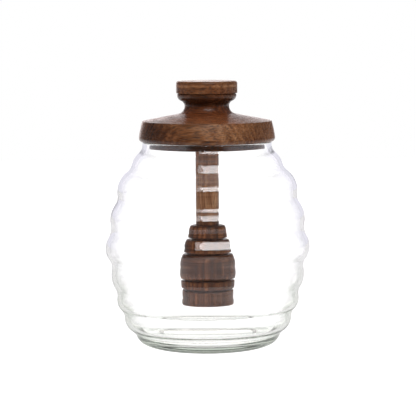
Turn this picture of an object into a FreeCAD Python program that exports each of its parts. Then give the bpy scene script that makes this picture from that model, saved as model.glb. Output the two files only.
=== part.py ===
import FreeCAD, Part
import math
import os
import Sketcher

# A beehive honey jar: a ribbed clear glass jar, a turned wooden lid that rests on its rim, and a
# wooden dipper whose shaft is glued into a blind socket in the lid.
#
# Millimetres, +Z up. The origin is the middle of the jar's foot, on the surface it stands on.
# Every piece is turned about the Z axis, so each one is a revolved half section in the XZ plane:
# across is the radius, up is the height.

RIBS = 7
BEADS = 5
SAME_PLACE = 0.001   # mm: an edge this near to a named place is the one meant
SAME_VOLUME = 0.001  # share: a cut this near to its worked-out volume is right

# ---------------------------------------------------------------------------------------------
# Driving dimensions: alias, value in mm, meaning
# ---------------------------------------------------------------------------------------------

JAR_SIZES = [
    ("egg_radius", 48.2, "radius of the egg that the grooves lie on, at its widest"),
    ("wall", 2.0, "glass thickness, measured square to the ribs"),
    ("groove_round", 7.0, "radius in the grooves between ribs, outside"),
    ("shoulder_round", 5.5, "radius between the lip and the first rib, outside"),
    ("lip_radius", 32.6, "outside radius of the straight lip"),
    ("lip_height", 4.2, "height of the lip above the first rib"),
    ("rim_thickness", 2.4, "glass thickness of the lip"),
    ("rim_round", 0.8, "radius on both edges of the rim"),
    ("rib_1_height", 9.6, "shoulder rib"),
    ("rib_2_height", 15.5, ""),
    ("rib_3_height", 16.3, ""),
    ("rib_4_height", 16.1, "belly rib, with the egg's widest point at its middle"),
    ("rib_5_height", 14.6, ""),
    ("rib_6_height", 10.0, ""),
    ("rib_7_height", 10.2, "lowest rib, above the foot"),
    ("rib_1_bulge", 1.3, "how far each rib stands out past its two grooves"),
    ("rib_2_bulge", 3.2, ""),
    ("rib_3_bulge", 2.8, ""),
    ("rib_4_bulge", 4.1, ""),
    ("rib_5_bulge", 2.4, ""),
    ("rib_6_bulge", 2.5, ""),
    ("rib_7_bulge", 2.5, ""),
    ("foot_height", 6.6, "height of the lowest groove"),
    ("foot_corner", 7.1, "radius of the corner between foot and side"),
    ("foot_ring", 4.0, "width of the flat ring that the jar stands on"),
    ("push_up", 1.2, "rise of the bottom inside that ring"),
    ("push_up_radius", 23.0, "radius of the raised bottom"),
    ("floor_height", 4.0, "height of the floor inside the jar"),
    ("floor_corner", 5.0, "radius between that floor and the side"),
]

LID_SIZES = [
    ("plug_clearance", 1.15, "gap all round between the plug and the lip"),
    ("plug_depth", 3.4, "how far the plug reaches down into the mouth"),
    ("plug_round", 0.6, "radius on the plug's lower edge"),
    ("flange_radius", 34.6, "radius of the flange at its foot"),
    ("flange_top_radius", 32.7, "radius of the flange at its top edge"),
    ("flange_thickness", 10.4, "height of the flange above the rim"),
    ("flange_bulge", 0.3, "crown of the flange's side"),
    ("flange_corner", 1.9, "radius on the flange's lower edge"),
    ("flange_round", 0.5, "radius on the flange's upper edge"),
    ("neck_radius", 11.25, "radius of the neck at its narrowest"),
    ("neck_height", 17.9, "height of that place above the rim"),
    ("neck_sweep", 4.0, "radius between the top and the neck"),
    ("bead_radius", 14.95, "radius of the bead under the knob"),
    ("bead_height", 23.3, "height above the rim of the bead's widest place"),
    ("knob_radius", 15.45, "radius of the knob"),
    ("knob_line_height", 24.1, "height above the rim of the line cut below the knob"),
    ("knob_line_width", 0.7, "width of that line"),
    ("knob_line_depth", 0.5, "depth of that line below the bead"),
    ("knob_height", 30.5, "height of the knob's top above the rim"),
    ("knob_round", 1.3, "radius on the knob's upper edge"),
    ("socket_depth", 8.0, "depth of the dipper's socket in the lid"),
]

DIPPER_SIZES = [
    ("shaft_radius", 5.85, "radius of the dipper's shaft"),
    ("shaft_clearance", 0.05, "glue gap round the shaft in its socket"),
    ("shaft_round", 0.5, "radius on the shaft's upper edge"),
    ("shaft_length", 39.1, "length that shows between the plug and the head"),
    ("slot_width", 1.3, "width of the slots between the head's beads"),
    ("slot_depth", 1.8, "depth of the slots below the bead above them"),
    ("slot_round", 0.4, "radius on the slots' outer edges"),
    ("head_round", 1.3, "radius on the head's top and bottom edges"),
    ("bead_1_height", 6.5, "beads of the head, from the top"),
    ("bead_2_height", 5.5, ""),
    ("bead_3_height", 11.9, ""),
    ("bead_4_height", 4.6, ""),
    ("bead_5_height", 6.0, ""),
    ("bead_1_top", 8.65, "radius at the top of each bead"),
    ("bead_2_top", 10.7, ""),
    ("bead_3_top", 12.6, ""),
    ("bead_4_top", 13.6, ""),
    ("bead_5_top", 13.0, ""),
    ("bead_1_bottom", 9.95, "radius at the bottom of each bead"),
    ("bead_2_bottom", 12.1, ""),
    ("bead_3_bottom", 13.7, ""),
    ("bead_4_bottom", 13.4, ""),
    ("bead_5_bottom", 12.9, ""),
    ("bead_1_bulge", 0.25, "crown of each bead's side"),
    ("bead_2_bulge", 0.2, ""),
    ("bead_3_bulge", 0.9, ""),
    ("bead_4_bulge", 0.15, ""),
    ("bead_5_bulge", 0.15, ""),
]


def fill_sheet(doc):
    """The spreadsheet that drives the model: name, value and note in columns A, B and C."""
    sheet = doc.addObject("Spreadsheet::Sheet", "Sizes")
    for row, (alias, value, note) in enumerate(JAR_SIZES + LID_SIZES + DIPPER_SIZES, start=1):
        sheet.set(f"A{row}", alias.replace("_", " "))
        sheet.set(f"B{row}", str(value))
        sheet.setAlias(f"B{row}", alias)
        sheet.set(f"C{row}", note)
    doc.recompute()
    return sheet


# ---------------------------------------------------------------------------------------------
# Worked-out sizes, as expressions on the sheet
# ---------------------------------------------------------------------------------------------

def size(alias):
    return f"Sizes.{alias}"


def total(aliases):
    return "(" + " + ".join(size(alias) for alias in aliases) + ")"


def groove_height(number):
    """Height of the groove under rib `number`; groove 0 is where the lip meets the first rib."""
    return total(["foot_height"] + [f"rib_{rib}_height" for rib in range(number + 1, RIBS + 1)])


def groove_radius(number):
    """The grooves lie on an egg whose widest circle is at the middle of the belly rib, and which
    passes through the foot of the lip."""
    equator = f"({groove_height(4)} + {size('rib_4_height')} / 2)"
    share = f"(({groove_height(number)} - {equator}) / ({groove_height(0)} - {equator}))"
    egg, lip = size("egg_radius"), size("lip_radius")
    return f"sqrt({egg} ^ 2 - ({egg} ^ 2 - {lip} ^ 2) * {share} ^ 2)"


def bulge_radius(across, up, bulge):
    """Radius of an arc over a chord that spans `across` and `up` and stands out by `bulge`."""
    return f"(({across}) ^ 2 + ({up}) ^ 2) / (8 * {bulge}) + {bulge} / 2"


def rib_radius(number):
    across = f"{groove_radius(number - 1)} - {groove_radius(number)}"
    return bulge_radius(across, size(f"rib_{number}_height"), size(f"rib_{number}_bulge"))


JAR_HEIGHT = total(["foot_height", "lip_height"] + [f"rib_{rib}_height" for rib in range(1, RIBS + 1)])
MOUTH_RADIUS = f"({size('lip_radius')} - {size('rim_thickness')})"
RIM = (size("lip_radius"), JAR_HEIGHT)
MOUTH_TOP = (MOUTH_RADIUS, JAR_HEIGHT)
PLUG_RADIUS = f"({MOUTH_RADIUS} - {size('plug_clearance')})"
HEAD_LENGTH = (
    f"({total([f'bead_{bead}_height' for bead in range(1, BEADS + 1)])}"
    f" + {BEADS - 1} * {size('slot_width')})"
)


# ---------------------------------------------------------------------------------------------
# Half sections
# ---------------------------------------------------------------------------------------------

def arc_centre(here, there, radius, turn):
    """Centre of the arc of under half a turn between two points."""
    chord = there - here
    reach = math.sqrt(max(radius ** 2 - (chord.Length / 2) ** 2, 0))
    return (here + there) / 2 + FreeCAD.Vector(-chord.y, chord.x, 0).normalize() * turn * reach


class HalfSection:
    """A sketch in a body's XZ plane, drawn as a chain of lines and arcs from point to point.
    A point is a (radius, height) pair of expressions, and its two distances are bound to them."""

    def __init__(self, body, name):
        self.body = body
        self.sketch = body.newObject("Sketcher::SketchObject", name)
        plane = [item for item in body.Origin.OriginFeatures if item.Role == "XZ_Plane"][0]
        self.sketch.AttachmentSupport = [(plane, "")]
        self.sketch.MapMode = "FlatFace"
        self.ends = []
        self.spot = None

    def value(self, expression):
        return float(self.sketch.evalExpression(expression))

    def value_pair(self, point):
        return (self.value(point[0]), self.value(point[1]))

    def vector(self, point):
        return FreeCAD.Vector(*self.value_pair(point), 0)

    def bind(self, kind, elements, expression, name):
        """A named dimension whose value is an expression."""
        index = self.sketch.addConstraint(Sketcher.Constraint(kind, *elements, self.value(expression)))
        self.sketch.renameConstraint(index, name)
        self.sketch.setExpression(f"Constraints.{name}", expression)

    def fix(self, end, point, name):
        """Hold one end at a point: on an axis where its distance is nought."""
        for kind, axis, expression in (("DistanceX", -2, point[0]), ("DistanceY", -1, point[1])):
            if expression == "0":
                self.sketch.addConstraint(Sketcher.Constraint("PointOnObject", *end, axis))
            else:
                self.bind(kind, (-1, 1, *end), expression, f"{name}_{kind[-1].lower()}")

    def join(self, start, finish, how="Coincident"):
        """Add a piece's two ends to the chain: how is Coincident, or Tangent for no corner."""
        if self.ends:
            self.sketch.addConstraint(Sketcher.Constraint(how, *self.ends[-1][1], *start))
        self.ends.append((start, finish))

    def mark(self, spot):
        """A construction point."""
        return self.sketch.addGeometry(Part.Point(spot), True)

    def line_to(self, here, there, how="Coincident"):
        geometry = self.sketch.addGeometry(Part.LineSegment(here, there), False)
        self.join((geometry, 1), (geometry, 2), how)
        self.spot = there
        return geometry

    def line_on(self, finish, name):
        """A line from where the chain has got to, with its end held at the point `finish`."""
        geometry = self.line_to(self.spot, self.vector(finish))
        self.fix((geometry, 2), finish, name)

    def start_out(self, finish, name):
        """The chain's first line, from the body's own origin out to the point `finish`."""
        self.spot = FreeCAD.Vector(0, 0, 0)
        self.line_on(finish, name)
        self.fix(self.ends[0][0], ("0", "0"), "middle")

    def arc_to(self, here, there, radius, turn, how="Coincident"):
        """An arc of under half a turn: `turn` is 1 for anticlockwise and -1 for clockwise."""
        centre = arc_centre(here, there, radius, turn)
        first, last = (here, there) if turn > 0 else (there, here)
        angles = [math.atan2(end.y - centre.y, end.x - centre.x) for end in (first, last)]
        circle = Part.Circle(centre, FreeCAD.Vector(0, 0, 1), radius)
        geometry = self.sketch.addGeometry(Part.ArcOfCircle(circle, *angles), False)
        ends = ((geometry, 1), (geometry, 2)) if turn > 0 else ((geometry, 2), (geometry, 1))
        self.join(*ends, how)
        self.spot = there
        return geometry

    def close(self):
        """Join the last end to the first, and check that the sizes agree."""
        self.sketch.addConstraint(Sketcher.Constraint("Coincident", *self.ends[-1][1], *self.ends[0][0]))
        loose = self.sketch.solve()
        if loose != 0:
            raise RuntimeError(f"{self.sketch.Name} doesn't solve: {loose}")


def revolve(section, name):
    feature = section.body.newObject("PartDesign::Revolution", name)
    feature.Profile = section.sketch
    feature.ReferenceAxis = (section.sketch, ["V_Axis"])
    feature.Angle = 360
    section.sketch.Visibility = False
    section.body.Document.recompute()
    return feature


def round_rings(body, name, places, radius):
    """Fillet the circular edges of the body's last feature that lie at these radii and heights."""
    base = body.Tip
    names = []
    for number, edge in enumerate(base.Shape.Edges, start=1):
        if edge.Degenerated or not isinstance(edge.Curve, Part.Circle):
            continue
        centre = edge.Curve.Center
        if any(math.hypot(edge.Curve.Radius - across, centre.z - up) < SAME_PLACE for across, up in places):
            names.append(f"Edge{number}")
    if len(names) != len(places):
        raise RuntimeError(f"{name}: {len(names)} edges found for {len(places)} places")
    fillet = body.newObject("PartDesign::Fillet", name)
    fillet.Base = (base, names)
    fillet.setExpression("Radius", radius)
    body.Document.recompute()
    return fillet


def new_body(doc, label, height):
    """A body for one piece, placed at a height above the surface the jar stands on."""
    body = doc.addObject("PartDesign::Body", label)
    body.Label = label
    body.setExpression("Placement.Base.z", height)
    doc.recompute()
    return body


# ---------------------------------------------------------------------------------------------
# Glass jar
# ---------------------------------------------------------------------------------------------

def touch(circle, other):
    """Where two circles that touch from outside meet. A circle is a (centre, radius) pair."""
    return circle[0] + (other[0] - circle[0]) * (circle[1] / (circle[1] + other[1]))


def circle_between(one, other, radius, near):
    """A circle of this radius that touches two others from outside, on the side of `near`."""
    reach_one, reach_other = one[1] + radius, other[1] + radius
    span = (other[0] - one[0]).Length
    along = (other[0] - one[0]).normalize()
    aside = FreeCAD.Vector(-along.y, along.x, 0)
    step = (reach_one ** 2 - reach_other ** 2 + span ** 2) / (2 * span)
    rise = math.sqrt(reach_one ** 2 - step ** 2)
    centres = [one[0] + along * step + aside * rise * way for way in (1, -1)]
    return (min(centres, key=near.distanceToPoint), radius)


def shoulder_circle(rib, across, radius):
    """The circle that rounds the corner between the lip, `across` from the axis, and a rib."""
    out = across + radius
    up = rib[0].y + math.sqrt((rib[1] + radius) ** 2 - (out - rib[0].x) ** 2)
    return (FreeCAD.Vector(out, up, 0), radius)


def outer_circles(section, notches):
    """The circles that the outside follows from the lip to the foot: a groove's, a rib's and so on
    by turns, then the foot's corner. The ribs' own arcs would meet in the notches, and the
    grooves' arcs round them."""
    groove = section.value(size("groove_round"))
    shoulder = section.value(size("shoulder_round"))
    corner = section.value(size("foot_corner"))
    ribs = []
    for number in range(1, RIBS + 1):
        radius = section.value(rib_radius(number))
        ribs.append((arc_centre(notches[number - 1], notches[number], radius, -1), radius))
    across = notches[RIBS].x - math.sqrt(corner ** 2 - (corner - notches[RIBS].y) ** 2)
    foot_corner = (FreeCAD.Vector(across, corner, 0), corner)

    circles = [shoulder_circle(ribs[0], notches[0].x, shoulder)]
    for number, (above, below) in enumerate(zip(ribs, ribs[1:] + [foot_corner]), start=1):
        circles += [above, circle_between(above, below, groove, notches[number])]
    return circles + [foot_corner]


def follow(section, circles, start, finish, first_turn, names):
    """Arcs along touching circles, without a corner, from one point to another."""
    stops = [start] + [touch(*pair) for pair in zip(circles, circles[1:])] + [finish]
    arcs = []
    turn = first_turn
    for circle, here, there, (name, radius) in zip(circles, stops, stops[1:], names):
        arc = section.arc_to(here, there, circle[1], turn, "Tangent")
        section.bind("Radius", (arc,), radius, name)
        arcs.append(arc)
        turn = -turn
    return arcs


def draw_outside(section, circles, spots):
    """Lip, ribs, grooves and the foot's corner, as one run of arcs. Each rib passes through the
    notches above and below it, and the foot's corner through the last one."""
    sketch = section.sketch
    marks = [section.mark(spot) for spot in spots]
    for number, mark in enumerate(marks):
        section.fix((mark, 1), (groove_radius(number), groove_height(number)), f"notch_{number}")
    lip_foot = FreeCAD.Vector(spots[0].x, circles[0][0].y, 0)
    lip = section.line_to(section.vector(RIM), lip_foot)
    section.fix((lip, 1), RIM, "rim")
    sketch.addConstraint(Sketcher.Constraint("Vertical", lip))
    names = [("shoulder", size("shoulder_round"))]
    for number in range(1, RIBS + 1):
        names.append((f"rib_{number}", rib_radius(number)))
        names.append((f"groove_{number}", size("groove_round")))
    names.append(("foot_corner", size("foot_corner")))
    arcs = follow(section, circles, lip_foot, FreeCAD.Vector(circles[-1][0].x, 0, 0), 1, names)
    for rib, above, below in zip(arcs[1::2], marks, marks[1:]):
        for mark in (above, below):
            sketch.addConstraint(Sketcher.Constraint("PointOnObject", mark, 1, rib))
    sketch.addConstraint(Sketcher.Constraint("PointOnObject", marks[-1], 1, arcs[-1]))
    return arcs


def draw_underneath(section, foot):
    """The flat ring that it stands on, and the bottom raised inside it."""
    ring_edge = foot - FreeCAD.Vector(section.value(size("foot_ring")), 0, 0)
    ring = section.line_to(foot, ring_edge, "Tangent")
    section.sketch.addConstraint(Sketcher.Constraint("PointOnObject", ring, 1, -1))
    section.sketch.addConstraint(Sketcher.Constraint("Horizontal", ring))
    section.bind("DistanceX", (ring, 2, ring, 1), size("foot_ring"), "foot_ring")
    section.line_on((size("push_up_radius"), size("push_up")), "push_up")
    section.line_on(("0", size("push_up")), "bottom")
    section.line_on(("0", size("floor_height")), "floor")


def inner_circles(section, circles):
    """The circles that the inside follows from the floor to the lip. Those of the ribs and grooves
    have the outside's centres, so the wall is as thick all the way up."""
    wall = section.value(size("wall"))
    corner = section.value(size("floor_corner"))
    lowest = (circles[-2][0], circles[-2][1] + wall)
    up = section.value(size("floor_height")) + corner
    out = lowest[0].x - math.sqrt((lowest[1] + corner) ** 2 - (lowest[0].y - up) ** 2)
    inner = [(FreeCAD.Vector(out, up, 0), corner)]
    turn = 1
    for centre, radius in reversed(circles[:-1]):
        inner.append((centre, radius + wall * turn))
        turn = -turn
    inner[-1] = shoulder_circle(inner[-2], section.value(MOUTH_RADIUS), inner[-1][1])
    return inner


def draw_inside(section, circles, outside):
    """The floor, its corner, the ribs and grooves seen from inside, and the mouth."""
    sketch = section.sketch
    inner = inner_circles(section, circles)
    floor_height = section.value(size("floor_height"))
    floor_edge = FreeCAD.Vector(inner[0][0].x, floor_height, 0)
    mouth_foot = FreeCAD.Vector(section.value(MOUTH_RADIUS), inner[-1][0].y, 0)
    floor = section.line_to(section.spot, floor_edge)
    sketch.addConstraint(Sketcher.Constraint("Horizontal", floor))
    names = [("floor_corner", size("floor_corner"))]
    for number in range(RIBS, 0, -1):
        names.append((f"inner_groove_{number}", f"{size('groove_round')} + {size('wall')}"))
        names.append((f"inner_rib_{number}", f"{rib_radius(number)} - {size('wall')}"))
    names.append(("inner_shoulder", f"{size('shoulder_round')} + {size('wall')}"))
    inside = follow(section, inner, floor_edge, mouth_foot, 1, names)
    for inner_rib, rib in zip(reversed(inside[2::2]), outside[1::2]):
        sketch.addConstraint(Sketcher.Constraint("Coincident", inner_rib, 3, rib, 3))
    lowest_groove = outside[-2]
    sketch.addConstraint(Sketcher.Constraint("Horizontal", inside[1], 3, lowest_groove, 3))
    mouth = section.line_to(mouth_foot, section.vector(MOUTH_TOP), "Tangent")
    section.fix((mouth, 2), MOUTH_TOP, "mouth")
    sketch.addConstraint(Sketcher.Constraint("Vertical", mouth))
    section.line_to(section.spot, section.vector(RIM))


def make_jar(doc):
    """The section runs down the outside, in under the foot, out along the floor and up the inside."""
    body = new_body(doc, "glass_jar", "0")
    section = HalfSection(body, "JarSection")
    spots = [section.vector((groove_radius(number), groove_height(number))) for number in range(RIBS + 1)]
    circles = outer_circles(section, spots)
    outside = draw_outside(section, circles, spots)
    draw_underneath(section, FreeCAD.Vector(circles[-1][0].x, 0, 0))
    draw_inside(section, circles, outside)
    section.close()
    revolve(section, "JarTurned")
    round_rings(body, "RimEdges", [section.value_pair(RIM), section.value_pair(MOUTH_TOP)],
                size("rim_round"))
    return body


# ---------------------------------------------------------------------------------------------
# Wooden lid
# ---------------------------------------------------------------------------------------------

def tangent_point(start, centre, radius):
    """Where the lower tangent from `start`, outside a circle, touches it."""
    line = start - centre
    turn = math.acos(radius / line.Length)
    heading = math.atan2(line.y, line.x) - turn
    return centre + FreeCAD.Vector(math.cos(heading), math.sin(heading), 0) * radius


def above_plug(alias):
    """A height above the rim, measured from the plug's underside."""
    return f"{size('plug_depth')} + {size(alias)}"


def make_lid(doc):
    """One turned piece: plug, flange, hollow-curved top, neck, bead and knob."""
    body = new_body(doc, "wooden_lid", f"{JAR_HEIGHT} - {size('plug_depth')}")
    section = HalfSection(body, "LidSection")
    sketch = section.sketch

    seat = size("plug_depth")
    flange_top = (size("flange_top_radius"), above_plug("flange_thickness"))
    neck = (size("neck_radius"), above_plug("neck_height"))
    bead = (size("bead_radius"), above_plug("bead_height"))
    line_half = f"{size('knob_line_width')} / 2"
    line_middle = above_plug("knob_line_height")
    line_foot = (size("bead_radius"), f"{line_middle} - {line_half}")
    line_deep = (f"{size('bead_radius')} - {size('knob_line_depth')}", line_middle)
    line_head = (size("knob_radius"), f"{line_middle} + {line_half}")
    knob_top = (size("knob_radius"), above_plug("knob_height"))

    section.start_out((PLUG_RADIUS, "0"), "plug_foot")
    section.line_on((PLUG_RADIUS, seat), "plug_top")
    section.line_on((size("flange_radius"), seat), "flange_foot")
    bulge = bulge_radius(f"{size('flange_radius')} - {size('flange_top_radius')}",
                         size("flange_thickness"), size("flange_bulge"))
    side = section.arc_to(section.spot, section.vector(flange_top), section.value(bulge), 1)
    section.bind("Radius", (side,), bulge, "flange_bulge")
    section.fix(section.ends[-1][1], flange_top, "flange_top")

    # Top: a straight slope that runs without a break into the sweep below the neck
    sweep = section.value(size("neck_sweep"))
    neck_spot = section.vector(neck)
    sweep_foot = tangent_point(section.vector(flange_top), neck_spot + FreeCAD.Vector(sweep, 0, 0), sweep)
    section.line_to(section.spot, sweep_foot)
    arc = section.arc_to(sweep_foot, neck_spot, sweep, -1, "Tangent")
    section.bind("Radius", (arc,), size("neck_sweep"), "neck_sweep")
    section.fix(section.ends[-1][1], neck, "neck")
    sketch.addConstraint(Sketcher.Constraint("Horizontal", arc, 3, *section.ends[-1][1]))

    # Neck to bead: two arcs of one radius that meet halfway, level with neither
    rise = f"({size('bead_height')} - {size('neck_height')})"
    reach = f"({size('bead_radius')} - {size('neck_radius')})"
    curve = f"({rise} ^ 2 + {reach} ^ 2) / (4 * {reach})"
    halfway = (f"{size('neck_radius')} + {reach} / 2", f"{neck[1]} + {rise} / 2")
    for finish, turn, name in ((halfway, -1, "halfway"), (bead, 1, "bead")):
        arc = section.arc_to(section.spot, section.vector(finish), section.value(curve), turn)
        section.bind("Radius", (arc,), curve, f"curve_to_{name}")
        section.fix(section.ends[-1][1], finish, name)

    section.line_on(line_foot, "line_foot")
    section.line_on(line_deep, "line_deep")
    section.line_on(line_head, "line_head")
    section.line_on(knob_top, "knob_top")
    section.line_on(("0", knob_top[1]), "knob_middle")
    section.line_to(section.spot, FreeCAD.Vector(0, 0, 0))
    section.close()
    revolve(section, "LidTurned")
    cut_socket(body)

    places = {name: section.value_pair(point) for name, point in (
        ("plug", (PLUG_RADIUS, "0")),
        ("flange_foot", (size("flange_radius"), seat)),
        ("flange_top", flange_top),
        ("knob_top", knob_top),
    )}
    round_rings(body, "PlugEdge", [places["plug"]], size("plug_round"))
    round_rings(body, "FlangeCorner", [places["flange_foot"]], size("flange_corner"))
    round_rings(body, "FlangeEdge", [places["flange_top"]], size("flange_round"))
    round_rings(body, "KnobEdge", [places["knob_top"]], size("knob_round"))
    return body


def cut_socket(body):
    """The blind hole in the plug's underside that holds the dipper's shaft."""
    doc = body.Document
    sketch = body.newObject("Sketcher::SketchObject", "SocketCircle")
    plane = [item for item in body.Origin.OriginFeatures if item.Role == "XY_Plane"][0]
    sketch.AttachmentSupport = [(plane, "")]
    sketch.MapMode = "FlatFace"
    bore = f"{size('shaft_radius')} + {size('shaft_clearance')}"
    circle = Part.Circle(FreeCAD.Vector(0, 0, 0), FreeCAD.Vector(0, 0, 1), sketch.evalExpression(bore))
    sketch.addGeometry(circle, False)
    sketch.addConstraint(Sketcher.Constraint("Coincident", 0, 3, -1, 1))
    index = sketch.addConstraint(Sketcher.Constraint("Radius", 0, circle.Radius))
    sketch.renameConstraint(index, "bore")
    sketch.setExpression("Constraints.bore", bore)
    before = body.Tip.Shape.Volume
    pocket = body.newObject("PartDesign::Pocket", "Socket")
    pocket.Profile = sketch
    pocket.setExpression("Length", size("socket_depth"))
    pocket.Reversed = True
    sketch.Visibility = False
    doc.recompute()
    removed = before - pocket.Shape.Volume
    expected = math.pi * circle.Radius ** 2 * pocket.Length.Value
    if abs(removed - expected) > SAME_VOLUME * expected:
        raise RuntimeError(f"the socket took {removed:.1f} mm3 and not {expected:.1f}")


# ---------------------------------------------------------------------------------------------
# Wooden dipper
# ---------------------------------------------------------------------------------------------

def make_dipper(doc):
    """One turned piece, drawn from the foot of its head up: crowned beads with slots between
    them, then the shaft."""
    lowest = f"{JAR_HEIGHT} - {size('plug_depth')} - {size('shaft_length')} - {HEAD_LENGTH}"
    body = new_body(doc, "wooden_dipper", lowest)
    section = HalfSection(body, "DipperSection")

    head_edges, slot_edges = [], []
    height = "0"
    section.start_out((size(f"bead_{BEADS}_bottom"), height), "head_foot")
    for bead in range(BEADS, 0, -1):
        foot = (size(f"bead_{bead}_bottom"), height)
        height = f"{height} + {size(f'bead_{bead}_height')}"
        head = (size(f"bead_{bead}_top"), height)
        crown = bulge_radius(f"{head[0]} - {foot[0]}", size(f"bead_{bead}_height"),
                             size(f"bead_{bead}_bulge"))
        arc = section.arc_to(section.spot, section.vector(head), section.value(crown), 1)
        section.bind("Radius", (arc,), crown, f"crown_{bead}")
        section.fix(section.ends[-1][1], head, f"bead_{bead}_head")
        (head_edges if bead == BEADS else slot_edges).append(foot)
        (head_edges if bead == 1 else slot_edges).append(head)
        if bead > 1:
            core = f"{size(f'bead_{bead - 1}_bottom')} - {size('slot_depth')}"
            section.line_on((core, height), f"slot_{bead}_foot")
            height = f"{height} + {size('slot_width')}"
            section.line_on((core, height), f"slot_{bead}_head")
            section.line_on((size(f"bead_{bead - 1}_bottom"), height), f"bead_{bead - 1}_foot")
    section.line_on((size("shaft_radius"), height), "shaft_foot")
    shaft_top = f"{height} + {size('shaft_length')} + {size('socket_depth')}"
    section.line_on((size("shaft_radius"), shaft_top), "shaft_head")
    section.line_on(("0", shaft_top), "shaft_middle")
    section.line_to(section.spot, FreeCAD.Vector(0, 0, 0))
    section.close()
    revolve(section, "DipperTurned")
    round_rings(body, "HeadEdges", [section.value_pair(point) for point in head_edges],
                size("head_round"))
    round_rings(body, "SlotEdges", [section.value_pair(point) for point in slot_edges],
                size("slot_round"))
    round_rings(body, "ShaftEdge", [section.value_pair((size("shaft_radius"), shaft_top))],
                size("shaft_round"))
    return body


# ---------------------------------------------------------------------------------------------
# Model
# ---------------------------------------------------------------------------------------------

def check(doc, bodies):
    """Stop on any failed feature, and on a piece that isn't one whole solid."""
    for item in doc.Objects:
        if {"Invalid", "Error"} & set(item.State):
            raise RuntimeError(f"{item.Name} failed: {item.State}")
    for body in bodies:
        shape = body.Shape
        if shape.isNull() or not shape.isValid() or len(shape.Solids) != 1:
            raise RuntimeError(f"{body.Label} isn't one valid solid")


def main():
    doc = FreeCAD.newDocument("HoneyJar")
    fill_sheet(doc)
    bodies = [make_jar(doc), make_lid(doc), make_dipper(doc)]
    doc.recompute()
    check(doc, bodies)
    os.makedirs("parts", exist_ok=True)
    for body in bodies:
        body.Shape.exportStep(f"parts/{body.Label}.step")
        box = body.Shape.optimalBoundingBox()
        print(f"{body.Label}: {body.Shape.Volume:.0f} mm3,"
              f" across {box.XLength:.2f}, from {box.ZMin:.2f} to {box.ZMax:.2f}")


main()
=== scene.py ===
import math

import bpy
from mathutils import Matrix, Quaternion, Vector


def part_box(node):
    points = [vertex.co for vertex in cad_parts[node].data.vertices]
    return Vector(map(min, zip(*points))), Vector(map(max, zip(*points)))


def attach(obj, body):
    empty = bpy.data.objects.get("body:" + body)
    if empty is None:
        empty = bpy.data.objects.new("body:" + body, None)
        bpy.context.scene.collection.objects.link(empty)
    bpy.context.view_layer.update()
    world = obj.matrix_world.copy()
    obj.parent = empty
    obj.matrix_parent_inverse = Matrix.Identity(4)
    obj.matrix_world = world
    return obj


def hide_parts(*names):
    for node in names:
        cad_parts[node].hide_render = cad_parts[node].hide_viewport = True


# An empty beehive honey jar of clear glass, with a turned wooden lid and a wooden dipper under it.
# Metres, +Z up, origin in the middle of the jar's foot. -Y is towards the viewer.
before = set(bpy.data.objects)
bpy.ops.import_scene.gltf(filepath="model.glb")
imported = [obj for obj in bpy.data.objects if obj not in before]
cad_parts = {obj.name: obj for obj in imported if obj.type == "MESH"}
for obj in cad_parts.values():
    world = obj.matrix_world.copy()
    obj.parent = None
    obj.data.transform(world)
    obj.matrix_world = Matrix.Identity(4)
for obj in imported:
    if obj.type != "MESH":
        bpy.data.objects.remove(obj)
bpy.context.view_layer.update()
scene = bpy.context.scene
scene.view_settings.view_transform = "Standard"
scene.cycles.max_bounces = 24            # light runs a long way inside the glass base
scene.cycles.glossy_bounces = 16
scene.cycles.transmission_bounces = 24
scene.cycles.transparent_max_bounces = 24
MM = 0.001
WHITE = (1, 1, 1, 1)

# ---------------------------------------------------------------------------------------------
# Glass jar: sizes in mm. They are the CAD jar's, apart from one softer groove.
# ---------------------------------------------------------------------------------------------
RIB_HEIGHTS = (9.6, 15.5, 16.3, 16.1, 14.6, 10.0, 10.2)   # from the shoulder down to the foot
RIB_BULGES = (1.3, 3.2, 2.8, 4.1, 2.4, 2.5, 2.5)          # how far each stands out past its grooves
BELLY_RIB = 3                # the rib whose middle is at the egg's widest circle
EGG_RADIUS = 48.2
WALL = 2.0
GROOVE_ROUNDS = (7.0, 7.0, 11.0, 7.0, 7.0, 7.0, 7.0)      # the groove over the belly rib is softer
SHOULDER_ROUND = 5.5
LIP_RADIUS = 32.6
RIM_THICKNESS = 2.4
RIM_ROUND = 0.8
MOUTH_RADIUS = LIP_RADIUS - RIM_THICKNESS
FOOT_HEIGHT = 6.6
FOOT_CORNER = 7.1
FOOT_RING = 4.0
PUSH_UP = 1.2
PUSH_UP_RADIUS = 23.0
FLOOR_HEIGHT = 4.0
FLOOR_CORNER = 5.0

# How finely the jar is turned: steps round the axis, and rings along the outline
AROUND = 240
ARC_STEP = math.radians(5)   # the most that an arc turns from one ring of the mesh to the next
ARC_REACH = 0.9              # mm, the furthest apart that two rings on an arc are
RIM_STEPS = 6                # on each of the rim's two rounded edges
LIP_STEPS = 4
FLOOR_STEPS = 20
PUSH_UP_STEPS = 16
SLOPE_STEPS = 8              # from the raised bottom down to the foot ring
FOOT_RING_STEPS = 3

# Unevenness of the blown glass. Heights and reaches are in metres.
LEAN = 0.007                 # slope of all the ribs, up to the right
BELLY_LEAN = 0.032           # further slope of the belly rib, up towards the viewer
BELLY_HEIGHT = 0.054
BELLY_REACH = 0.010
TRUE_FOOT = 0.15             # share of the height in which the unevenness grows from nothing
TRUE_RIM = 0.97              # share of the height where it has gone again
RIM_FADE = 0.12              # share of the height in which it goes
THINNER = 0.0012             # how much narrower it is than true, so that its waves stay inside
WAVE = 0.0007                # how much it is out of round

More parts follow.
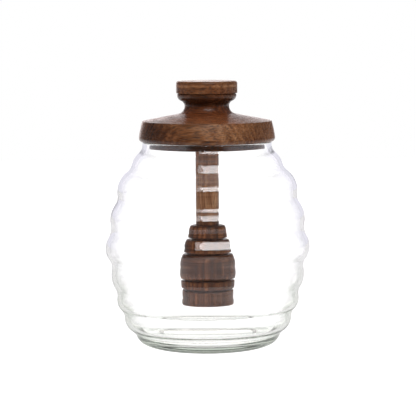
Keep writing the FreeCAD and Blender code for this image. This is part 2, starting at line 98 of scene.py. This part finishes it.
# ---------------------------------------------------------------------------------------------
# Camera and studio
# ---------------------------------------------------------------------------------------------
LENS = 150.2
SENSOR = 36.0
LOOK_DOWN = math.radians(6.03)
CAMERA_ROLL = math.radians(-0.35)
CAMERA_DISTANCE = 0.8807
AIM = Vector((0.00030, 0, 0.0692))
FLOOR_GLOW = 0.60            # the floor is a light table, which keeps it as white as the backdrop
FLOOR_DROP = 0.0001          # how far the floor is below the jar's foot
FLOOR_X = (-0.9, 0.9)
FLOOR_Y = (-0.30, 1.2)
KEY_DISTANCE = 3.0
KEY_ELEVATION = (30.5, 52)   # degrees, as seen from the jar
KEY_PANELS = ((-9, 35, 7.0), (-17, -9, 3.0))   # azimuths from -Y towards +X, and the brightness
KEY_COLOUR = (0.98, 0.98, 1.0)


# ---------------------------------------------------------------------------------------------
# Outline of the jar. A circle is its centre and its radius.
# ---------------------------------------------------------------------------------------------
def arc_centre(here, there, radius):
    """Centre of the arc from `here` down to `there` that bulges away from the axis."""
    chord = there - here
    reach = math.sqrt(radius ** 2 - (chord.length / 2) ** 2)
    return (here + there) / 2 + Vector((chord.y, -chord.x)).normalized() * reach


def circle_between(one, other, radius, near):
    """A circle of this radius that touches two others from outside, on the side of `near`."""
    span = (other[0] - one[0]).length
    along = (other[0] - one[0]) / span
    step = ((one[1] + radius) ** 2 - (other[1] + radius) ** 2 + span ** 2) / (2 * span)
    rise = math.sqrt((one[1] + radius) ** 2 - step ** 2)
    aside = Vector((-along.y, along.x)) * rise
    places = [one[0] + along * step + aside, one[0] + along * step - aside]
    return (min(places, key=lambda place: (place - near).length), radius)


def shoulder_circle(rib, across, radius):
    """The circle that rounds the corner between the lip, `across` from the axis, and a rib."""
    out = across + radius
    height = rib[0].y + math.sqrt((rib[1] + radius) ** 2 - (out - rib[0].x) ** 2)
    return (Vector((out, height)), radius)


def touch(circle, other):
    """The point where two circles touch."""
    return circle[0] + (other[0] - circle[0]) * (circle[1] / (circle[1] + other[1]))


def circle_point(circle, angle):
    return circle[0] + Vector((math.cos(angle), math.sin(angle))) * circle[1]


def arc_points(circle, here, there):
    """Points along the shorter arc from `here` to `there`, without the first."""
    centre, radius = circle
    start = math.atan2(here.y - centre.y, here.x - centre.x)
    turn = math.atan2(there.y - centre.y, there.x - centre.x) - start
    turn = (turn + math.pi) % (2 * math.pi) - math.pi
    steps = max(math.ceil(abs(turn) / ARC_STEP), math.ceil(abs(turn) * radius / ARC_REACH), 2)
    return [circle_point(circle, start + turn * step / steps) for step in range(1, steps + 1)]


def line_points(here, there, steps):
    """Points along a line from `here` to `there`, without the first."""
    return [here.lerp(there, step / steps) for step in range(1, steps + 1)]


def follow(circles, start, finish):
    """Points along touching circles from start to finish, without the first."""
    stops = [start] + [touch(*pair) for pair in zip(circles, circles[1:])] + [finish]
    points = []
    for circle, here, there in zip(circles, stops, stops[1:]):
        points += arc_points(circle, here, there)
    return points


def notch_places():
    """Where the ribs meet, from the lip down to the foot: on an egg whose widest circle is at the
    middle of the belly rib."""
    heights = [FOOT_HEIGHT + sum(RIB_HEIGHTS[number:]) for number in range(len(RIB_HEIGHTS) + 1)]
    equator = heights[BELLY_RIB + 1] + RIB_HEIGHTS[BELLY_RIB] / 2
    places = []
    for height in heights:
        share = (height - equator) / (heights[0] - equator)
        across = math.sqrt(EGG_RADIUS ** 2 - (EGG_RADIUS ** 2 - LIP_RADIUS ** 2) * share ** 2)
        places.append(Vector((across, height)))
    return places


def outer_circles():
    """The circles that the outside follows from the lip to the foot: a groove's, a rib's and so on
    by turns, then the foot's corner."""
    notches = notch_places()
    ribs = []
    for above, below, bulge in zip(notches, notches[1:], RIB_BULGES):
        radius = (below - above).length_squared / (8 * bulge) + bulge / 2
        ribs.append((arc_centre(above, below, radius), radius))
    out = notches[-1].x - math.sqrt(FOOT_CORNER ** 2 - (FOOT_CORNER - notches[-1].y) ** 2)
    foot_corner = (Vector((out, FOOT_CORNER)), FOOT_CORNER)
    circles = [shoulder_circle(ribs[0], LIP_RADIUS, SHOULDER_ROUND)]
    for rib, below, radius, notch in zip(ribs, ribs[1:] + [foot_corner], GROOVE_ROUNDS, notches[1:]):
        circles += [rib, circle_between(rib, below, radius, notch)]
    return circles + [foot_corner]


def inner_circles(outer):
    """The circles that the inside follows from the mouth to the floor. Ribs and grooves have the
    outside's centres, so the wall is as thick all the way up."""
    inner = [(centre, radius + WALL * (1 if number % 2 == 0 else -1))
             for number, (centre, radius) in enumerate(outer[:-1])]
    inner[0] = shoulder_circle(inner[1], MOUTH_RADIUS, inner[0][1])
    centre, radius = inner[-1]
    level = FLOOR_HEIGHT + FLOOR_CORNER
    across = centre.x - math.sqrt((radius + FLOOR_CORNER) ** 2 - (centre.y - level) ** 2)
    return inner + [(Vector((across, level)), FLOOR_CORNER)]


def rim_edge(across, top, start):
    """A quarter circle on the rim, with both its ends, anticlockwise from the angle `start`."""
    circle = (Vector((across, top - RIM_ROUND)), RIM_ROUND)
    turns = [math.pi / 2 * step / RIM_STEPS for step in range(RIM_STEPS + 1)]
    return [circle_point(circle, start + turn) for turn in turns]


def bottom_points(foot):
    """The underside from the axis to `foot`: raised and flat, a soft slope, and the foot ring."""
    middle = Vector((0, PUSH_UP))
    points = [middle] + line_points(middle, Vector((PUSH_UP_RADIUS, PUSH_UP)), PUSH_UP_STEPS)
    width = foot.x - FOOT_RING - PUSH_UP_RADIUS
    for step in range(1, SLOPE_STEPS + 1):
        share = step / SLOPE_STEPS
        rise = PUSH_UP * (1 - share * share * (3 - 2 * share))
        points.append(Vector((PUSH_UP_RADIUS + width * share, rise)))
    return points + line_points(points[-1], foot, FOOT_RING_STEPS)


def jar_outline():
    """The half section as (radius, height) points in mm: from the middle of the bottom out to the
    foot, up the outside, over the rim, down the inside and along the floor to the axis."""
    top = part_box("glass_jar")[1].z / MM
    outer = outer_circles()
    inner = inner_circles(outer)
    foot = Vector((outer[-1][0].x, 0))
    lip_foot = Vector((LIP_RADIUS, outer[0][0].y))
    mouth_foot = Vector((MOUTH_RADIUS, inner[0][0].y))
    floor_edge = Vector((inner[-1][0].x, FLOOR_HEIGHT))

    outside = [lip_foot] + follow(outer, lip_foot, foot)
    rim = rim_edge(LIP_RADIUS - RIM_ROUND, top, 0)
    rim += rim_edge(MOUTH_RADIUS + RIM_ROUND, top, math.pi / 2)
    lip = line_points(lip_foot, rim[0], LIP_STEPS)[:-1]
    neck = line_points(rim[-1], mouth_foot, LIP_STEPS)
    inside = follow(inner, mouth_foot, floor_edge)
    floor = line_points(floor_edge, Vector((0, FLOOR_HEIGHT)), FLOOR_STEPS)
    return bottom_points(foot) + outside[-2::-1] + lip + rim + neck + inside + floor


def hand_made(point, top):
    """The blown jar's slight unevenness: its ribs lean down to the left, the belly rib is higher in
    front, and it's not quite round. The foot and the rim stay true."""
    up = point.z / top
    free = max(0.0, min(1.0, up / TRUE_FOOT)) * max(0.0, min(1.0, (TRUE_RIM - up) / RIM_FADE))
    angle = math.atan2(point.y, point.x)
    # Two waves that wind round the jar, one each way
    wave = math.sin(2 * angle + 9 * up) + 0.6 * math.sin(3 * angle - 14 * up + 1.3)
    belly = math.exp(-((point.z - BELLY_HEIGHT) / BELLY_REACH) ** 4)
    point.z += free * (LEAN * point.x - BELLY_LEAN * belly * point.y)
    scale = 1 - free * (THINNER + WAVE * wave)
    point.x *= scale
    point.y *= scale
    return point


def lathe(name, outline, around, adjust):
    """A closed mesh turned about Z from an outline that starts and ends on the axis."""
    steps = [2 * math.pi * step / around for step in range(around)]
    rings = outline[1:-1]
    corners = [adjust(Vector((ring.x * math.cos(angle), ring.x * math.sin(angle), ring.y)) * MM)
               for ring in rings for angle in steps]
    first, last = len(corners), len(corners) + 1
    corners += [Vector((0, 0, outline[0].y)) * MM, Vector((0, 0, outline[-1].y)) * MM]
    faces = []
    for row in range(len(rings) - 1):
        for step in range(around):
            after = (step + 1) % around
            faces.append((row * around + step, row * around + after,
                          (row + 1) * around + after, (row + 1) * around + step))
    end = (len(rings) - 1) * around
    for step in range(around):
        after = (step + 1) % around
        faces.append((first, after, step))
        faces.append((last, end + step, end + after))
    mesh = bpy.data.meshes.new(name)
    mesh.from_pydata(corners, [], faces)
    mesh.shade_smooth()
    mesh.validate()
    piece = bpy.data.objects.new(name, mesh)
    scene.collection.objects.link(piece)
    return piece


# ---------------------------------------------------------------------------------------------
# Node trees
# ---------------------------------------------------------------------------------------------
class Graph:
    """Short calls for building a node tree."""

    def __init__(self, tree):
        self.tree = tree
        tree.nodes.clear()

    def plug_shade(self, socket, value):
        if isinstance(value, bpy.types.NodeSocket):
            self.tree.links.new(value, socket)
        else:
            socket.default_value = value

    def add(self, kind, inputs=None, **settings):
        made = self.tree.nodes.new(kind)
        for name, value in settings.items():
            setattr(made, name, value)
        for name, value in (inputs or {}).items():
            self.plug_shade(made.inputs[name], value)
        return made

    def object_coords(self):
        return self.add("ShaderNodeTexCoord").outputs["Object"]

    def axis(self, coords, name):
        return self.add("ShaderNodeSeparateXYZ", {"Vector": coords}).outputs[name]

    def math(self, operation, *values, clamp=False):
        made = self.add("ShaderNodeMath", operation=operation, use_clamp=clamp)
        for socket, value in zip(made.inputs, values):
            self.plug_shade(socket, value)
        return made.outputs[0]

    def shift(self, value, mask, amount):
        """The value, moved by the amount where the mask is 1."""
        return self.math("ADD", value, self.math("MULTIPLY", mask, amount))

    def vector(self, operation, *values):
        made = self.add("ShaderNodeVectorMath", operation=operation)
        for socket, value in zip(made.inputs, values):
            self.plug_shade(socket, value)
        return made

    def noise(self, coords, scale, detail=2.0, roughness=0.5):
        stretched = self.vector("MULTIPLY", coords, scale).outputs[0]
        return self.add("ShaderNodeTexNoise", {"Vector": stretched, "Scale": 1.0, "Detail": detail,
                                               "Roughness": roughness}).outputs[0]

    def fade(self, value, low, high, to_low=0.0, to_high=1.0):
        """Smooth step from to_low at low to to_high at high."""
        return self.add("ShaderNodeMapRange", {"Value": value, "From Min": low, "From Max": high,
                                               "To Min": to_low, "To Max": to_high},
                        interpolation_type="SMOOTHSTEP").outputs[0]

    def band(self, value, start, full, still, end):
        """1 from full to still, falling to 0 at start and at end."""
        rise, fall = self.fade(value, start, full), self.fade(value, still, end, 1.0, 0.0)
        return self.math("MULTIPLY", rise, fall)

    def spot(self, coords, centre, reach):
        """1 at a point of the piece, falling to 0 at `reach` (x, y, z) away from it."""
        away = self.vector("DIVIDE", self.vector("SUBTRACT", coords, centre).outputs[0], reach)
        return self.fade(self.vector("LENGTH", away.outputs[0]).outputs["Value"], 0.0, 1.0, 1.0, 0.0)

    def mix(self, factor, one, other, blend="MIX"):
        made = self.add("ShaderNodeMix", data_type="RGBA", blend_type=blend)
        for index, value in ((0, factor), (6, one), (7, other)):
            self.plug_shade(made.inputs[index], value)
        return made.outputs[2]

    def ramp(self, value, stops):
        made = self.add("ShaderNodeValToRGB", {"Fac": value})
        elements = made.color_ramp.elements
        while len(elements) < len(stops):
            elements.new(1.0)
        for element, (place, colour) in zip(elements, stops):
            element.position = place
            element.color = (*colour, 1)
        return made.outputs[0]

    def finish(self, kind, surface, volume=None):
        out = self.add(kind)
        self.plug_shade(out.inputs["Surface"], surface.outputs[0])
        if volume:
            self.plug_shade(out.inputs["Volume"], volume.outputs[0])


def new_material(name):
    material = bpy.data.materials.new(name)
    material.use_nodes = True
    return material, Graph(material.node_tree)


# ---------------------------------------------------------------------------------------------
# Glass
# ---------------------------------------------------------------------------------------------
GLASS_BODY = (0.68, 0.80, 0.60, 1)         # each metre absorbs 1 minus this, times the density
GLASS_DENSITY = 14.0
GLASS_SHADOW = (0.95, 0.96, 0.955, 1)      # what the jar lets through to the wood and the table
EDGE_SHADE_GREEN = (0.26, 0.32, 0.24, 1)         # painted dark shade in the glass's green, on glass seen edge on near the foot
EDGE_SHADE_LAVENDER = (0.72, 0.71, 0.82, 1)      # painted lavender shade, in place of reflected surroundings, on edges higher up
EDGE_CHANGE = (0.020, 0.060)               # heights between which the one turns into the other
EDGE_ON = (0.45, 1.0)                      # how far glass has to face away to count as edge on


def glass_material():
    """Clear soda-lime glass, green where it's thick, with the slight waves of blown glass, and with
    painted shade where it's seen edge on. Lamps shine through it straight, so that what's inside is
    lit."""
    material, g = new_material("clear_glass_finish")
    coords = g.object_coords()
    waves = g.noise(coords, (45, 45, 70), 1.0)
    bump = g.add("ShaderNodeBump", {"Height": waves, "Strength": 0.05, "Distance": 0.0012})
    facing = g.add("ShaderNodeLayerWeight", {"Blend": 0.5}).outputs["Facing"]
    # Painted edge shade: where the glass is seen edge on, its colour darkens, green low down and
    # lavender higher up
    painted_edge_shade = g.mix(g.fade(g.axis(coords, "Z"), *EDGE_CHANGE), EDGE_SHADE_GREEN, EDGE_SHADE_LAVENDER)
    shader = g.add("ShaderNodeBsdfPrincipled", {
        "Base Color": g.mix(g.fade(facing, *EDGE_ON), WHITE, painted_edge_shade), "Roughness": 0.0, "IOR": 1.5,
        "Transmission Weight": 1.0, "Normal": bump.outputs[0]})
    clear = g.add("ShaderNodeBsdfTransparent", {"Color": GLASS_SHADOW})
    path = g.add("ShaderNodeLightPath")
    through = g.math("MAXIMUM", path.outputs["Is Shadow Ray"], path.outputs["Is Diffuse Ray"])
    both = g.add("ShaderNodeMixShader", {0: through, 1: shader.outputs[0], 2: clear.outputs[0]})
    tint = g.add("ShaderNodeVolumeAbsorption", {"Color": GLASS_BODY, "Density": GLASS_DENSITY})
    g.finish("ShaderNodeOutputMaterial", both, tint)
    return material


# ---------------------------------------------------------------------------------------------
# Wood. A tone is how light the wood is, from 0 to 1. Places and reaches are in metres.
# ---------------------------------------------------------------------------------------------
LID_TONES = ((0.0, (0.018, 0.007, 0.004)), (0.35, (0.085, 0.031, 0.012)),
             (0.65, (0.215, 0.093, 0.039)), (1.0, (0.395, 0.205, 0.100)))
DIPPER_TONES = ((0.0, (0.020, 0.008, 0.004)), (0.35, (0.082, 0.034, 0.015)),
                (0.65, (0.245, 0.118, 0.056)), (1.0, (0.450, 0.265, 0.140)))
WARM = (1.06, 0.78, 0.66, 1)               # what reddens the wood's colour
PORE = (0.02, 0.010, 0.006, 1)
TONE_SHARES = {"rings": 0.13, "fibres": 0.62, "streaks": 0.52, "clouds": 0.62}
TONE_LOWERED = 0.40                        # brings their sum down to the middle of the tones

LID_SPOTS = (   # centre, reach, and how much lighter the wood is there
    ((-0.030, -0.022, 0.108), (0.017, 0.024, 0.012), -0.42),          # darker patch at the left
    ((0.0040, -0.034, 0.1070), (0.022, 0.020, 0.014), 0.20),          # paler front
    ((0.0010, -0.0345, 0.1051), (0.0052, 0.004, 0.00040), -1.0))      # short crack low in front
LID_BANDS = (   # the four heights of a band, and how much lighter the wood is there
    ((0.1205, 0.1225, 0.1240, 0.1285), -0.26),                        # painted shade in the undercut below the knob
    ((0.1030, 0.1036, 0.1042, 0.1066), -0.16),                        # flange's lower edge
    ((0.1301, 0.1311, 0.1313, 0.1323), 0.34))                         # painted highlight along the knob's upper edge
SLOPE = (0.1130, 0.1145, 0.1200, 0.1230)   # the lid's sloping top: the four heights of a band
SLOPE_DARKER = 0.11
SLOPE_REDDER = 0.75
PLUG_TOP = (0.1030, 0.1038)                # heights between which the painted shade on the plug, under the flange, gives way
PLUG_SHADE = 0.32                         # how much darker that painted shade makes the plug, and how much redder

# In the dipper, pairs are for the head and for the shaft
HEAD_TO_SHAFT = (0.060, 0.070)             # heights between which the head's tones become the shaft's
MIDDLE_TONES = (0.13, 0.605)
CONTRASTS = (1.3, 0.9)
REDNESS = (0.60, 0.1)
WOOD_MIDDLE = 0.42                         # the middle tone of plain wood
SHAFT_TOP = (0.086, 0.090)                 # heights between which the shaft's red end starts
SHAFT_TOP_DARKER = 0.08
TURNING_LINES = (-0.09, 0.09)              # how much lighter the darkest and palest of them are
SIDES = (-0.013, 0.013)                    # the head's left and right
SIDE_PAINTED_LIGHT = (-0.06, 0.07)                 # painted light: how much lighter the dipper is at its right, towards the softbox, and darker at its left
STREAK = ((-0.0062, -0.0125, 0.037), (0.0022, 0.006, 0.016))         # centre and reach
STREAK_DARKER = 0.16


def growth_rings(g, turned, pith, ring_gap):
    """Rings from dark, 0, to light, 1, round the pith, pushed about by slow waves along the grain."""
    sway = g.noise(turned, (18, 45, 45), 2.0)
    wander = g.noise(turned, (90, 380, 380), 3.0, 0.6)
    from_pith = g.vector("MULTIPLY", g.vector("SUBTRACT", turned, (0, *pith)).outputs[0], (0, 1, 1))
    distance = g.vector("LENGTH", from_pith.outputs[0]).outputs["Value"]
    pushed = g.shift(g.shift(distance, sway, 0.010), wander, 0.0026)
    return g.fade(g.math("SINE", g.math("MULTIPLY", pushed, 2 * math.pi / ring_gap)), -1.0, 1.0)


def wood_material(name, turn, pith, ring_gap, tones, roughness, pore_depth, sheen, figure):
    """Oiled hardwood. turn is the Euler angle that brings the grain onto the local X axis, and pith
    is where the growth rings' centre line crosses the other two axes, in metres. figure is the
    function that marks the piece's own darker, paler and redder parts."""
    material, g = new_material(name)
    coords = g.object_coords()
    turned = g.add("ShaderNodeMapping", {"Vector": coords, "Rotation": turn}).outputs[0]
    parts = {"rings": growth_rings(g, turned, pith, ring_gap),
             "fibres": g.noise(turned, (110, 1300, 1300), 4.0, 0.65),
             "streaks": g.noise(turned, (30, 500, 500), 3.0, 0.6),
             "clouds": g.noise(turned, (26, 60, 60), 3.0, 0.55)}
    dashes = g.fade(g.noise(turned, (240, 1700, 1700), 2.0), 0.52, 0.62)      # pores along the grain

    tone = -TONE_LOWERED
    for part, share in TONE_SHARES.items():
        tone = g.shift(tone, parts[part], share)
    tone, warmth = figure(g, coords, tone)
    redder = g.fade(g.noise(turned, (16, 40, 40), 2.0), 0.45, 0.70, 0.0, 0.5)
    colour = g.mix(g.math("ADD", warmth, redder), g.ramp(tone, tones), WARM, "MULTIPLY")
    colour = g.mix(g.math("MULTIPLY", dashes, pore_depth), colour, PORE)

    relief = g.shift(g.math("MULTIPLY", parts["fibres"], 0.6), dashes, -0.8)
    bump = g.add("ShaderNodeBump", {"Height": relief, "Strength": 0.35, "Distance": 0.00012})
    gloss = g.fade(g.shift(parts["fibres"], dashes, 0.6), 0.3, 0.9, *roughness)
    shader = g.add("ShaderNodeBsdfPrincipled", {
        "Base Color": colour, "Roughness": gloss, "IOR": 1.45, "Specular IOR Level": 0.3,
        "Sheen Weight": sheen, "Sheen Roughness": 0.4, "Normal": bump.outputs[0]})
    g.finish("ShaderNodeOutputMaterial", shader)
    return material


def lid_figure(g, coords, tone):
    """The lid's spots and bands, with painted shade in the undercut and a painted highlight on the
    knob's upper edge, and its slope and plug, which are darker and redder; the plug's dark is painted
    shade.
    """
    up = g.axis(coords, "Z")
    for centre, reach, lighter in LID_SPOTS:
        tone = g.shift(tone, g.spot(coords, centre, reach), lighter)
    for heights, lighter in LID_BANDS:
        tone = g.shift(tone, g.band(up, *heights), lighter)
    slope = g.band(up, *SLOPE)
    # Painted shade on the plug, which sits under the flange's overhang in the jar's mouth
    plug_shade = g.fade(up, *PLUG_TOP, PLUG_SHADE, 0.0)
    tone = g.math("SUBTRACT", g.shift(tone, slope, -SLOPE_DARKER), plug_shade)
    return tone, g.shift(plug_shade, slope, SLOPE_REDDER)


def dipper_figure(g, coords, tone):
    """The dipper's fine turning lines, paler shaft, painted light that makes its right side paler and
    its left darker, its darker and redder upper end, and a dark streak down the left of its head."""
    up = g.axis(coords, "Z")
    turning = g.noise(coords, (12, 12, 620), 2.0, 0.6)
    tone = g.math("ADD", tone, g.fade(turning, 0.38, 0.62, *TURNING_LINES))
    contrast = g.fade(up, *HEAD_TO_SHAFT, *CONTRASTS)
    tone = g.math("MULTIPLY", g.math("SUBTRACT", tone, WOOD_MIDDLE), contrast)
    tone = g.math("ADD", tone, g.fade(up, *HEAD_TO_SHAFT, *MIDDLE_TONES))
    # Painted light: the side towards the softbox is lighter, the other side darker
    tone = g.math("ADD", tone, g.fade(g.axis(coords, "X"), *SIDES, *SIDE_PAINTED_LIGHT))
    upper = g.fade(up, *SHAFT_TOP)
    tone = g.shift(tone, upper, -SHAFT_TOP_DARKER)
    tone = g.shift(tone, g.spot(coords, *STREAK), -STREAK_DARKER)
    return tone, g.math("MAXIMUM", upper, g.fade(up, *HEAD_TO_SHAFT, *REDNESS))


# ---------------------------------------------------------------------------------------------
# Studio. The table's fronts are distances in metres along Y, and its glows are at their two ends.
# ---------------------------------------------------------------------------------------------
TABLE_SHADES = ((0.0, (0.72, 0.71, 0.74)), (1.0, (0.76, 0.75, 0.78)))
TABLE_FRONT = (-0.30, -0.10)
TABLE_GLOW = (0.50, 0.88)
MIRRORED_FRONT = (-0.07, 0.0)
MIRRORED_GLOW = (0.12, 0.47)
MIRRORED_TINT = (0.95, 0.96, 0.93, 1)

BACKDROP_FOOT = (2.30, 2.14, 2.16, 1)
BACKDROP_TOP = (2.10, 2.00, 2.02, 1)
ABOVE_BACKDROP = (0.12, 0.11, 0.12, 1)
FRONT_WALL = (0.04, 0.037, 0.040, 1)
BACK_WALL = (0.18, 0.17, 0.18, 1)
CEILING = (1.05, 0.98, 0.94, 1)

# The same studio as the glass mirrors it, and the white that is seen straight through the glass
GLASS_FRONT = (0.07, 0.064, 0.062, 1)
GLASS_CEILING = (0.90, 0.84, 0.82, 1)
GLASS_BACK_CEILING = (0.40, 0.40, 0.48, 1)
LAVENDER = (0.86, 0.845, 0.92, 1)
STRAIGHT_THROUGH = (1.27, 1.26, 1.27, 1)
BEHIND = (-0.10, 0.995, 0.0)               # towards the middle of the backdrop
SURFACES_PASSED = 3.5                      # light through more surfaces shows the wood's studio


def floor_material():
    """A pale table that glows white to the eye, and is less bright in front of the jar. The glass
    mirrors a dimmer table, so that the jar's lower edges show grey."""
    material, g = new_material("floor_finish")
    coords = g.object_coords()
    cloud = g.noise(coords, (3, 3, 3), 2.0)
    back = g.axis(coords, "Y")
    path = g.add("ShaderNodeLightPath")
    sharp, depth = path.outputs["Is Singular Ray"], path.outputs["Glossy Depth"]
    mirrored = g.math("MULTIPLY", sharp, depth, clamp=True)
    plain_glow = g.math("SUBTRACT", g.fade(back, *TABLE_FRONT, *TABLE_GLOW), mirrored)
    mirrored_glow = g.math("MULTIPLY", mirrored, g.fade(back, *MIRRORED_FRONT, *MIRRORED_GLOW))
    glow = g.math("MAXIMUM", plain_glow, mirrored_glow)
    eye = g.math("MULTIPLY", path.outputs["Is Camera Ray"], FLOOR_GLOW)
    shader = g.add("ShaderNodeBsdfPrincipled", {
        "Base Color": g.ramp(cloud, TABLE_SHADES), "Roughness": 0.9, "Specular IOR Level": 0.0,
        "Emission Color": g.mix(mirrored, WHITE, MIRRORED_TINT),
        "Emission Strength": g.math("MAXIMUM", glow, eye)})
    g.finish("ShaderNodeOutputMaterial", shader)
    return material


def make_floor():
    left, right = FLOOR_X
    front, back = FLOOR_Y
    mesh = bpy.data.meshes.new("floor")
    mesh.from_pydata([(left, front, 0), (right, front, 0), (right, back, 0), (left, back, 0)], [],
                     [(0, 1, 2, 3)])
    floor = bpy.data.objects.new("floor", mesh)
    scene.collection.objects.link(floor)
    floor.location.z = -FLOOR_DROP
    mesh.materials.append(floor_material())


def make_camera():
    data = bpy.data.cameras.new("camera")
    data.sensor_width = SENSOR
    data.lens = LENS
    camera = bpy.data.objects.new("camera", data)
    scene.collection.objects.link(camera)
    ahead = Vector((0, math.cos(LOOK_DOWN), -math.sin(LOOK_DOWN)))
    camera.location = AIM - ahead * CAMERA_DISTANCE
    camera.rotation_mode = "QUATERNION"
    camera.rotation_quaternion = ahead.to_track_quat("-Z", "Y") @ Quaternion((0, 0, 1), CAMERA_ROLL)
    scene.camera = camera


def make_key(left, right, radiance):
    """A panel of the large softbox in front, above and to the right."""
    azimuth = math.radians((left + right) / 2)
    elevation = math.radians(sum(KEY_ELEVATION) / 2)
    towards = Vector((math.sin(azimuth) * math.cos(elevation), -math.cos(azimuth) * math.cos(elevation),
                      math.sin(elevation)))
    half_width = math.radians((right - left) / 2) * math.cos(elevation)
    half_height = math.radians((KEY_ELEVATION[1] - KEY_ELEVATION[0]) / 2)
    data = bpy.data.lights.new("softbox", "AREA")
    data.shape = "RECTANGLE"
    data.size = 2 * KEY_DISTANCE * math.tan(half_width)
    data.size_y = 2 * KEY_DISTANCE * math.tan(half_height)
    data.energy = math.pi * data.size * data.size_y * radiance
    data.color = KEY_COLOUR
    key = bpy.data.objects.new("softbox", data)
    key.location = AIM + towards * KEY_DISTANCE
    key.rotation_euler = (-towards).to_track_quat("-Z", "Y").to_euler()
    key.visible_camera = False
    scene.collection.objects.link(key)


def wood_light(g, behind, up):
    """What lights the wood: dark in front and at the sides, a narrow bright backdrop, a ceiling."""
    backdrop = g.mix(g.fade(up, 0.02, 0.30), BACKDROP_FOOT, BACKDROP_TOP)
    backdrop = g.mix(g.fade(up, 0.42, 0.58), backdrop, ABOVE_BACKDROP)
    walls = g.mix(g.fade(behind, -1.0, 0.2), FRONT_WALL, BACK_WALL)
    round_back = g.mix(g.fade(behind, 0.90, 0.985), walls, backdrop)
    return g.mix(g.fade(up, 0.80, 0.95), round_back, CEILING)


def glass_light(g, along, behind, up):
    """What the glass mirrors: a dark front, a ceiling, and soft lavender at the sides and behind."""
    ceiling = g.mix(g.fade(behind, -0.1, 0.35), GLASS_CEILING, GLASS_BACK_CEILING)
    front = g.mix(g.fade(up, 0.75, 0.95), GLASS_FRONT, ceiling)
    sideways = g.fade(g.math("ABSOLUTE", along), 0.40, 0.75)
    low_back = g.math("MULTIPLY", g.fade(behind, 0.0, 0.5), g.fade(up, 0.4, 0.7, 1.0, 0.0))
    return g.mix(g.math("MAXIMUM", sideways, low_back), front, LAVENDER)


def make_world():
    """A dark studio with a bright backdrop and ceiling. What is seen straight through the glass is
    white all round, so that the jar looks clear from every side."""
    world = bpy.data.worlds.new("studio")
    scene.world = world
    world.use_nodes = True
    g = Graph(world.node_tree)
    direction = g.add("ShaderNodeTexCoord").outputs["Generated"]
    along, up = g.axis(direction, "X"), g.axis(direction, "Z")
    behind = g.vector("DOT_PRODUCT", direction, BEHIND).outputs["Value"]

    path = g.add("ShaderNodeLightPath")
    shallow = g.math("LESS_THAN", path.outputs["Transmission Depth"], SURFACES_PASSED)
    off_glass = g.math("MULTIPLY", path.outputs["Is Singular Ray"], shallow)
    lit = g.mix(off_glass, wood_light(g, behind, up), glass_light(g, along, behind, up))
    bounced = g.math("ADD", path.outputs["Glossy Depth"], path.outputs["Diffuse Depth"], clamp=True)
    colour = g.mix(bounced, STRAIGHT_THROUGH, lit)
    seen = g.mix(path.outputs["Is Camera Ray"], colour, WHITE)
    g.finish("ShaderNodeOutputWorld", g.add("ShaderNodeBackground", {"Color": seen, "Strength": 1.0}))


# ---------------------------------------------------------------------------------------------
# The object
# ---------------------------------------------------------------------------------------------
def make_glass():
    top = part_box("glass_jar")[1].z
    jar = lathe("jar_glass", jar_outline(), AROUND, lambda point: hand_made(point, top))
    jar.data.materials.append(glass_material())
    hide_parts("glass_jar")
    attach(jar, "root")


def dress(node, material):
    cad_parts[node].material_slots[0].material = material


make_camera()
for panel in KEY_PANELS:
    make_key(*panel)
make_world()
make_floor()
make_glass()
dress("wooden_lid", wood_material(
    "lid_wood_finish", turn=(0.05, 0.06, 0.22), pith=(0.120, 0.135), ring_gap=0.0024,
    tones=LID_TONES, roughness=(0.22, 0.40), pore_depth=0.60, sheen=0.0, figure=lid_figure))
dress("wooden_dipper", wood_material(
    "dipper_wood_finish", turn=(0.05, math.pi / 2, 0.03), pith=(0.030, 0.060), ring_gap=0.0026,
    tones=DIPPER_TONES, roughness=(0.30, 0.48), pore_depth=0.40, sheen=0.04, figure=dipper_figure))
